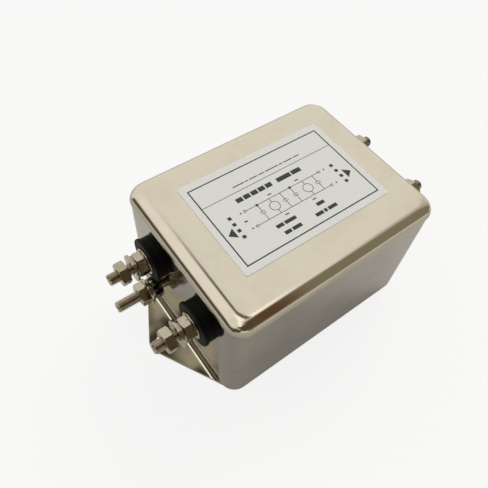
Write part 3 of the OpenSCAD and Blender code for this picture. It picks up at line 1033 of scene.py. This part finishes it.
@dataclass
class PressedLid:
    """The lid: a flat top that rolls over a wide shoulder into a short skirt."""

    sheet_t: float = 0.8 * MM
    shoulder_w: Flat = (4.9 * MM, 3.9 * MM)
    shoulder_h: float = 3.9 * MM
    outer_r: float = 5.75 * MM
    crease_r: float = 3.6 * MM
    lip_r: float = 0.2 * MM
    lip_share: float = 0.3
    corner_steps: int = 14
    shoulder_steps: int = 16
    flat_insets: tuple[float, ...] = (7.5 * MM, 12.0 * MM, 18.0 * MM)
    half: Flat = field(init=False)

    def build(self) -> None:
        """Makes the lid in place of its solid."""
        low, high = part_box("lid")
        self.half = ((high.x - low.x) / 2, (high.y - low.y) / 2)
        draft = Draft()
        rows = [self._row(draft, (inset, inset), self.crease_r, high.z)
                for inset in reversed(self.flat_insets)]
        rows += self._shoulder(draft, 0.0, high.z)
        cut = self.lip_r
        eased = cut * self.lip_share
        for inset, height in ((0.0, low.z + cut), (eased, low.z + eased), (cut, low.z),
                              (self.sheet_t, low.z)):
            rows.append(self._row(draft, (inset, inset), self.outer_r - inset, height))
        rows += reversed(self._shoulder(draft, self.sheet_t, high.z - self.sheet_t))
        draft.loft(rows)
        lid = draft.build("pressed_lid", smooth_angle=60)
        LID_NICKEL.put_on(lid)
        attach(lid, "housing")
        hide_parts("lid")

    def _shoulder(self, draft: Draft, inward: float, top: float) -> list[list[int]]:
        """Rows of the rolled shoulder, from the crease to the skirt.

        Args:
            draft: The mesh that they go into.
            inward: How far the surface lies inside the lid's outside.
            top: Height at which the shoulder starts.

        Returns:
            The rows.
        """
        tall = self.shoulder_h - inward
        rows = []
        for step in range(self.shoulder_steps + 1):
            angle = math.pi / 2 * step / self.shoulder_steps
            share = 1 - math.sin(angle)
            inset = tuple(inward + (wide - inward) * share for wide in self.shoulder_w)
            radius = (self.outer_r - inward) + (self.crease_r - self.outer_r + inward) * share
            rows.append(self._row(draft, inset, radius, top - tall * (1 - math.cos(angle))))
        return rows

    def _row(self, draft: Draft, inset: Flat, radius: float, height: float) -> list[int]:
        """One outline of the lid.

        Args:
            draft: The mesh that it goes into.
            inset: How far it is drawn in along X and along Y.
            radius: The radius of its corners.
            height: The height that it lies at.

        Returns:
            The points' places in the mesh.
        """
        half = (self.half[0] - inset[0], self.half[1] - inset[1])
        return draft.ring([(x, y, height) for x, y in rounded(half, radius, self.corner_steps)])


@dataclass
class BasePlate:
    """The plate under the can, with an ear and a screw slot at each end."""

    tip_at: float = 45.75 * MM
    tip_r: float = 5.5 * MM
    corner: Flat = (33.0 * MM, 23.5 * MM)
    corner_r: float = 5.5 * MM
    half_w: float = 27.9 * MM
    slot_w: float = 4.5 * MM
    slot_l: float = 6.5 * MM
    edge: float = 0.18 * MM
    edge_steps: int = 3
    arc_steps: int = 20

    def build(self) -> None:
        """Makes the plate in place of its solid, all its edges slightly rounded."""
        low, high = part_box("base_plate")
        data = bpy.data.curves.new("slotted_plate", "CURVE")
        data.dimensions = "2D"
        data.fill_mode = "BOTH"
        data.extrude = (high.z - low.z) / 2 - self.edge
        data.bevel_depth = self.edge
        data.bevel_resolution = self.edge_steps
        data.offset = -self.edge
        for outline in (self._outline(), self._slot(1), self._slot(-1)):
            spline = data.splines.new("POLY")
            spline.points.add(len(outline) - 1)
            for point, (x, y) in zip(spline.points, outline):
                point.co = (x, y, 0.0, 1.0)
            spline.use_cyclic_u = True
        drawn = add_object("plate_outline", data)
        mesh = bpy.data.meshes.new_from_object(drawn.evaluated_get(
            bpy.context.evaluated_depsgraph_get()))
        bpy.data.objects.remove(drawn)
        mesh.transform(Matrix.Translation((0, 0, (low.z + high.z) / 2)))
        plate = add_object("slotted_plate", mesh)
        mesh.materials.clear()
        PLATE_NICKEL.put_on(plate)
        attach(plate, "housing")
        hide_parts("base_plate")

    def _outline(self) -> list[Flat]:
        """The plate's outline: round tips whose edges run into the can's round corners.

        Returns:
            The outline's points, counter-clockwise.
        """
        across = (self.tip_at - self.corner[0], self.corner[1])
        lean = math.atan2(across[0], across[1])
        turn = lean - math.asin((self.corner_r - self.tip_r) / math.hypot(*across))
        tip = arc((self.tip_at, 0.0), self.tip_r, 0.0, turn, self.arc_steps)
        corner = arc(self.corner, self.corner_r, turn, math.pi / 2, self.arc_steps)
        quarter = tip + [(x, min(y, self.half_w)) for x, y in corner]
        half = quarter + [(-x, y) for x, y in reversed(quarter)]
        return half + [(x, -y) for x, y in reversed(half[1:-1])]

    def _slot(self, end: int) -> list[Flat]:
        """The outline of the screw slot at one end, which lies along the plate.

        Args:
            end: 1 for the end along +X, and -1 for the other.

        Returns:
            The outline's points.
        """
        points = []
        for side in (1, -1):
            middle = (end * self.tip_at + side * (self.slot_l - self.slot_w) / 2, 0.0)
            start = side * math.pi / 2
            points += arc(middle, self.slot_w / 2, start, start - math.pi, self.arc_steps)
        return points


@dataclass
class Housing:
    """Can, base plate and lid, with the tight nuts and washers on the can's ends."""

    hardware: Hardware

    def build(self, nodes: Mapping[str, bpy.types.Object]) -> None:
        """Dresses the sheet metal and the tight hardware.

        Args:
            nodes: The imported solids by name.
        """
        SHADED_CAN_NICKEL.put_on(nodes["can"])
        BasePlate().build()
        PressedLid().build()
        for name, finish in (("thin_washers", WASHER_NICKEL), ("lock_nuts", SHADED_NUT_NICKEL)):
            finish.put_on(nodes[name])
            self.hardware.soften(nodes[name])


@dataclass
class PrintedLabel:
    """The paper label and its printed drawing, in label coordinates (mm from its middle).

    A row of bars is its start, its middle's height, its height and the bars' widths. A negative
    width is left blank.
    """

    turn: float = math.radians(-0.5)
    corner_r: float = 0.8
    ink_t: float = 0.012 * MM
    line_w: float = 0.2
    border: tuple[float, float, float, float] = (-25.4, -15.8, 25.3, 15.6)
    border_w: float = 0.42
    divider_y: float = 7.6
    bar_gap: float = 0.45
    bars: tuple[tuple[float, float, float, tuple[float, ...]], ...] = (
        (-12.6, 9.6, 0.35, (4.2, 1.1, 3.1, 2.2, 5.1, 1.3, 3.6, 2.4)),
        (-14.8, 4.6, 1.7, (2.3, 2.3, 2.3, 2.3, 2.3, -1.2, 5.4, 3.6)),
        (-10.4, -9.6, 1.25, (2.6, 4.2)),
        (5.0, -9.6, 1.25, (2.9,)),
        (-9.6, -12.6, 1.25, (2.4, 3.4)),
        (2.2, -12.6, 1.25, (2.9, 1.1, 3.4)),
        (-16.6, 0.2, 0.5, (0.5,)), (-16.6, -6.1, 0.5, (0.5,)), (-17.2, -3.0, 0.5, (1.1,)),
        (-5.4, 1.5, 0.4, (1.4,)), (5.2, 1.5, 0.4, (1.4,)),
        (-5.4, -7.4, 0.4, (1.4,)), (5.2, -7.4, 0.4, (1.4,)),
        (15.9, 0.2, 0.5, (0.5,)), (15.9, -6.1, 0.5, (0.5,)),
    )
    side_mark: float = 1.15
    side_mark_count: int = 4
    side_marks: tuple[tuple[float, float, Flat], ...] = (
        (-20.2, 0.4, (0.0, -2.5)), (19.4, 0.2, (0.0, -2.5)),
    )
    arrows: tuple[tuple[float, float, float], ...] = ((-21.6, -4.6, -1.0), (21.0, -4.8, 1.0))
    arrow_l: float = 2.4
    arrow_h: float = 1.9
    rail_x: Flat = (-14.4, 13.8)
    rail_y: Flat = (0.2, -6.1)
    coils: tuple[float, ...] = (-5.9, 7.1)
    coil_r: float = 1.65
    cap_lines: tuple[float, ...] = (-10.4, -1.8, 2.2, 11.2)
    plate_half: float = 0.9
    plate_gap: float = 0.35
    eye_r: float = 0.4
    arc_steps: int = 8
    ring_steps: int = 28

    def build(self) -> None:
        """Makes the paper and the print and puts them in place of the plain label."""
        low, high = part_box("label")
        middle = (low + high) / 2
        turned = abs(math.sin(self.turn))
        span_x, span_y = (high.x - low.x) / MM, (high.y - low.y) / MM
        length = (span_x - span_y * turned) / 2
        width = (span_y - span_x * turned) / 2
        spot = Matrix.Translation((middle.x, middle.y, 0)) @ Matrix.Rotation(self.turn, 4, "Z")
        ink_low = high.z - self.ink_t
        paper = Draft()
        edge = rounded((length, width), self.corner_r, self.arc_steps)
        paper.prism(self._metres(edge), (), low.z, ink_low)
        sheet = paper.build("paper_label", smooth_angle=30)
        ink = Draft()
        for outline, hole in self._shapes():
            ink.prism(self._metres(outline), self._metres(hole), ink_low, high.z)
        print_piece = ink.build("label_print", smooth_angle=30)
        for piece, finish in ((sheet, LABEL_PAPER), (print_piece, LABEL_INK)):
            piece.data.transform(spot)
            finish.put_on(piece)
            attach(piece, "housing")
        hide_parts("label")

    @staticmethod
    def _metres(outline: Sequence[Flat]) -> list[Flat]:
        """An outline in millimetres turned into metres."""
        return [(x * MM, y * MM) for x, y in outline]

    @staticmethod
    def _box(x0: float, y0: float, x1: float, y1: float) -> list[Flat]:
        """Corners of a rectangle, counter-clockwise."""
        return [(x0, y0), (x1, y0), (x1, y1), (x0, y1)]

    def _square(self, x: float, y: float, half: float) -> list[Flat]:
        """Corners of a square by its middle and half its width."""
        return self._box(x - half, y - half, x + half, y + half)

    def _shapes(self) -> Iterator[Shape]:
        """Draws the border, the divider, the arrows and all that stands between them.

        Returns:
            Every printed shape as an outline and its hole, if it has one.
        """
        x0, y0, x1, y1 = self.border
        thick = self.border_w
        yield (self._box(x0, y0, x1, y1),
               self._box(x0 + thick, y0 + thick, x1 - thick, y1 - thick))
        yield self._line((x0 + thick, self.divider_y), (x1 - thick, self.divider_y)), []
        yield from self._marks()
        yield from self._diagram()
        for x, y, way in self.arrows:
            tip = (x + way * self.arrow_l, y)
            base = [(x, y + way * self.arrow_h), (x, y - way * self.arrow_h)]
            yield [tip, *base], []

    def _line(self, start: Flat, end: Flat) -> list[Flat]:
        """A printed line as a thin rectangle along X or Y.

        Args:
            start: One end.
            end: The other end.

        Returns:
            The rectangle's corners.
        """
        half = self.line_w / 2
        (xa, ya), (xb, yb) = sorted((start, end))
        if abs(yb - ya) < abs(xb - xa):
            return self._box(xa, ya - half, xb, yb + half)
        return self._box(xa - half, min(ya, yb), xb + half, max(ya, yb))

    def _ring(self, x: float, y: float, radius: float) -> Shape:
        """A printed circle.

        Args:
            x: Where its middle lies along X.
            y: Where its middle lies along Y.
            radius: The radius of the line's middle.

        Returns:
            Its outer and inner outline.
        """
        angles = [2 * math.pi * step / self.ring_steps for step in range(self.ring_steps)]
        outer, inner = ([(x + r * math.cos(angle), y + r * math.sin(angle)) for angle in angles]
                        for r in (radius + self.line_w / 2, radius - self.line_w / 2))
        return outer, inner

    def _marks(self) -> Iterator[Shape]:
        """Draws plain bars where such a label has its words and ratings.

        Returns:
            The bars' shapes.
        """
        for x, y, tall, widths in self.bars:
            for wide in widths:
                if wide > 0:
                    yield self._box(x, y - tall / 2, x + wide, y + tall / 2), []
                x += abs(wide) + self.bar_gap
        for x, y, on in self.side_marks:
            for step in range(self.side_mark_count):
                yield self._square(x + step * on[0], y + step * on[1], self.side_mark / 2), []

    def _diagram(self) -> Iterator[Shape]:
        """Draws such a filter's circuit: two rails, with coils and capacitors between them.

        Returns:
            The drawing's shapes.
        """
        left, right = self.rail_x
        top, bottom = self.rail_y
        middle = (top + bottom) / 2
        for y in (top, bottom):
            yield self._line((left, y), (right, y)), []
            for x in (left - self.eye_r, right + self.eye_r):
                yield self._ring(x, y, self.eye_r)
        for x in self.coils:
            yield self._ring(x, middle, self.coil_r)
            for y, way in ((top, -1), (bottom, 1)):
                yield self._line((x, y), (x, middle - way * self.coil_r)), []
        for x in self.cap_lines:
            for y, way in ((top, 1), (bottom, -1)):
                plate = middle + way * self.plate_gap
                yield self._line((x, y), (x, plate)), []
                yield self._line((x - self.plate_half, plate), (x + self.plate_half, plate)), []
        for x in (self.cap_lines[0], self.cap_lines[2]):
            yield self._square(x, top, self.line_w * 2), []


@dataclass
class Winding:
    """Thick enamelled wire wound once round part of a ring core that stands on edge."""

    wire_d: float = 1.6 * MM
    spread: float = math.radians(122)
    turns: int = 11
    turn_steps: int = 32
    wire_sides: int = 8
    squareness: float = 0.30
    leg_l: float = 2.2 * MM
    inner_r: float = 7.25 * MM
    outer_r: float = 17.75 * MM

    def build(self, node: str, ring_middle: float) -> None:
        """Winds the wire in place of its plain sleeve.

        Args:
            node: The sleeve's node.
            ring_middle: Where the ring's axis lies along Y.
        """
        low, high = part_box(node)
        middle = (low + high) / 2
        side = 1.0 if middle.y > ring_middle else -1.0
        wire_r = self.wire_d / 2
        near, far = self.inner_r + wire_r, self.outer_r - wire_r
        half_x = (high.x - low.x) / 2 - wire_r
        path = []
        total = self.turns * self.turn_steps
        for step in range(total + 1):
            around = 2 * math.pi * step / self.turn_steps
            angle = self.spread * (0.5 - step / total)
            reach = (near + far) / 2 + (far - near) / 2 * self._square(math.cos(around))
            path.append(Vector((middle.x + half_x * self._square(math.sin(around)),
                                ring_middle + side * reach * math.cos(angle),
                                middle.z + reach * math.sin(angle))))
        path.append(path[-1] - Vector((0.0, 0.0, self.leg_l)))
        draft = Draft()
        draft.tube(path, wire_r, self.wire_sides)
        wire = draft.build(f"{node}_wire", smooth_angle=60)
        COPPER_WIRE.put_on(wire)
        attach(wire, "housing")
        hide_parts(node)
        LOG.info("wound %s", wire.name)

    def _square(self, share: float) -> float:
        """Pushes a circle's coordinate outwards, so that the turn hugs a squarish core."""
        return math.copysign(abs(share) ** self.squareness, share)


class Interior:
    """The parts inside the closed can, dressed for whoever opens it."""

    COATS: Mapping[str, Finish] = {
        "liner": LINER_CARD, "potting": POTTING_RESIN, "circuit_board": BOARD_LAMINATE,
        "choke_core": CORE_COATING, "choke_saddle": SADDLE_PLASTIC, "winding": COPPER_WIRE,
        "film_capacitor": FILM_CASE, "disc_capacitors": DISC_COATING,
        "bleed_resistor": RESISTOR_COATING, "ring_lugs": LUG_BRASS, "earth_lug": LUG_BRASS,
        "line_leads": LEAD_BROWN, "load_leads": LEAD_BROWN, "earth_lead": LEAD_GREEN,
    }

    def build(self, nodes: Mapping[str, bpy.types.Object]) -> None:
        """Dresses every inner part by the end of its name.

        Args:
            nodes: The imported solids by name.
        """
        for name, node in nodes.items():
            for ending, finish in self.COATS.items():
                if name.endswith(ending):
                    finish.put_on(node)
        for end in ("line", "load"):
            low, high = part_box(f"{end}_choke_core")
            for side in ("front", "rear"):
                Winding().build(f"{end}_choke_{side}_winding", (low.y + high.y) / 2)


OPEN: Span = (-2.0, 2.0)


@dataclass(frozen=True)
class Patch:
    """A soft-edged part of the surroundings: its span along each axis of the direction."""

    colour: Colour
    x: Span = OPEN
    y: Span = OPEN
    z: Span = OPEN
    soft: Point = (0.1, 0.1, 0.1)

    def mask(self, axes: Sequence[Socket]) -> Socket:
        """Where the patch lies, by the direction looked in.

        Args:
            axes: The three parts of that direction.

        Returns:
            The mask.
        """
        bands = [axis.between(*span, soft)
                 for axis, span, soft in zip(axes, (self.x, self.y, self.z), self.soft)
                 if span != OPEN]
        return math.prod(bands[1:], start=bands[0])


@dataclass
class Studio:
    """Floor, surroundings and camera."""

    sky: Colour = (1.0, 0.985, 0.95)
    backdrop: Colour = (1.0, 1.0, 1.0)
    ripple: float = 0.08
    ripple_scale: float = 4.0
    floor_colour: Colour = (0.70, 0.69, 0.66)
    camera_white: float = 0.86
    metal_white: float = 0.15
    lamp_strength: float = 1.1
    lamp_spread: float = math.radians(30)
    lamp_from: Point = (0.70, 0.30, 0.65)
    floor_half: float = 3.0
    floor_drop: float = 0.02 * MM
    patches: tuple[Patch, ...] = (
        Patch((1.09, 1.065, 1.02), x=(-0.85, -0.08), y=(0.2, 0.75), z=(0.5, 2.0)),
        Patch((1.50, 1.47, 1.40), x=(-0.25, 0.38), y=(-0.12, 0.22), z=(0.7, 2.0),
              soft=(0.08, 0.10, 0.1)),
        Patch((0.62, 0.58, 0.50), x=(0.54, 2.0), y=(-2.0, 0.13), soft=(0.12, 0.3, 0.1)),
        Patch((0.27, 0.25, 0.175), x=(0.0, 2.0), y=(-2.0, -0.14), z=(-0.05, 2.0),
              soft=(0.3, 0.3, 0.1)),
        Patch((0.13, 0.065, 0.035), x=(0.26, 0.385), y=(-2.0, -0.20), z=(0.10, 2.0),
              soft=(0.06, 0.16, 0.2)),
        Patch((0.12, 0.085, 0.055), x=(-0.75, 0.27), y=(-2.0, -0.24), z=(0.20, 2.0),
              soft=(0.1, 0.12, 0.2)),
        Patch((0.12, 0.10, 0.06), x=(0.0, 0.20), y=(-0.1, 0.47), z=(0.3, 2.0),
              soft=(0.07, 0.2, 0.1)),
        Patch((0.10, 0.09, 0.07), x=(-2.0, -0.62), y=(-0.7, 0.75), z=(-0.05, 0.38),
              soft=(0.12, 0.14, 0.14)),
    )
    photo_px: int = 488
    focal_px: float = 501.17
    middle_px: Flat = (246.865, 232.695)
    sensor_mm: float = 36.0
    near_clip: float = 0.01
    eye: Point = (-73.225 * MM, -66.888 * MM, 166.547 * MM)
    right: Point = (0.80317, -0.59204, 0.06634)
    down: Point = (-0.45506, -0.68155, -0.57306)
    forward: Point = (0.38449, 0.43008, -0.81682)

    def build(self) -> None:
        """Makes the floor, the surroundings and the camera."""
        self._floor()
        self._world()
        self._lamp()
        self._camera()

    def _floor(self) -> None:
        """A pale floor that can't be seen from below."""
        draft = Draft()
        draft.faces.append(tuple(draft.ring([
            (sx * self.floor_half, sy * self.floor_half, -self.floor_drop)
            for sx, sy in ((-1, -1), (1, -1), (1, 1), (-1, 1))])))
        floor = draft.build("studio_floor")
        if floor.data.polygons[0].normal.z < 0:
            floor.data.flip_normals()
        made = bpy.data.materials.new("studio_floor")
        made.use_nodes = True
        graph = Graph(made.node_tree)
        matt = graph.node("ShaderNodeBsdfDiffuse", values={"Color": self.floor_colour})
        paper = graph.node("ShaderNodeEmission", values={"Color": self.backdrop, "Strength": 1.0})
        path = graph.node("ShaderNodeLightPath", out="Is Camera Ray")
        in_metal = path.beside("Is Glossy Ray") + path.beside("Is Transmission Ray")
        white = path * self.camera_white + in_metal * self.metal_white
        matt = graph.node("ShaderNodeMixShader", values={0: white, 1: matt, 2: paper})
        clear = graph.node("ShaderNodeBsdfTransparent")
        below = graph.node("ShaderNodeNewGeometry", out="Backfacing")
        both = graph.node("ShaderNodeMixShader", values={0: below, 1: matt, 2: clear})
        graph.node("ShaderNodeOutputMaterial", values={"Surface": both})
        floor.data.materials.append(made)

    def _world(self) -> None:
        """Soft daylight with the darker things that polished metal shows."""
        world = bpy.data.worlds.new("daylight")
        bpy.context.scene.world = world
        world.use_nodes = True
        graph = Graph(world.node_tree)
        way = graph.node("ShaderNodeTexCoord", out="Generated")
        ripple = graph.node("ShaderNodeTexNoise", {"noise_dimensions": "3D"},
                            {"Vector": way, "Scale": self.ripple_scale, "Detail": 1.0},
                            out="Color")
        shift = graph.node("ShaderNodeVectorMath", {"operation": "MULTIPLY_ADD"},
                           {0: ripple, 1: (self.ripple,) * 3, 2: (-self.ripple / 2,) * 3})
        uneven = graph.node("ShaderNodeVectorMath", {"operation": "ADD"}, {0: way, 1: shift})
        axes = graph.axes(uneven)
        seen: Any = self.sky
        for patch in self.patches:
            seen = graph.mix(patch.mask(axes), seen, patch.colour)
        camera_ray = graph.node("ShaderNodeLightPath", out="Is Camera Ray")
        shown = graph.mix(camera_ray, seen, self.backdrop)
        lit = graph.node("ShaderNodeBackground", values={"Color": shown, "Strength": 1.0})
        graph.node("ShaderNodeOutputWorld", values={"Surface": lit})

    def _lamp(self) -> None:
        """A broad soft lamp from behind, which adds light but no glare in the metal."""
        data = bpy.data.lights.new("soft_lamp", "SUN")
        data.energy = self.lamp_strength
        data.angle = self.lamp_spread
        data.color = self.sky
        lamp = add_object("soft_lamp", data)
        lamp.rotation_mode = "QUATERNION"
        lamp.rotation_quaternion = Vector(self.lamp_from).to_track_quat("Z", "Y")
        lamp.visible_glossy = False

    def _camera(self) -> None:
        """The photograph's own view."""
        data = bpy.data.cameras.new("camera")
        data.sensor_width = self.sensor_mm
        data.lens = self.focal_px / self.photo_px * self.sensor_mm
        data.shift_x = (self.photo_px / 2 - self.middle_px[0]) / self.photo_px
        data.shift_y = (self.middle_px[1] - self.photo_px / 2) / self.photo_px
        data.clip_start = self.near_clip
        camera = add_object("camera", data)
        turn = Matrix((self.right, [-v for v in self.down], [-v for v in self.forward]))
        camera.matrix_world = Matrix.Translation(self.eye) @ turn.transposed().to_4x4()
        bpy.context.scene.camera = camera


def clear_scene() -> None:
    """Removes whatever Blender starts with."""
    for thing in list(bpy.data.objects):
        bpy.data.objects.remove(thing)


def main() -> None:
    """Builds the filter's looks and the studio round it."""
    logging.basicConfig(level=logging.INFO, format="%(name)s: %(message)s")
    clear_scene()
    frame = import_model()
    for packed in list(bpy.data.materials):
        packed.name = f"{packed.name}_packed"
    nodes = frame["nodes"]
    hardware = Hardware()
    Housing(hardware).build(nodes)
    LOG.info("dressed the can, lid and base plate")
    for post in Post:
        ScrewPost(post, hardware).build(nodes)
        LOG.info("built the %s post", post.value)
    PrintedLabel().build()
    LOG.info("printed the label")
    Interior().build(nodes)
    LOG.info("dressed the parts inside the can")
    Studio().build()
    bpy.context.scene.view_settings.view_transform = "Standard"


if __name__ == "__main__":
    main()
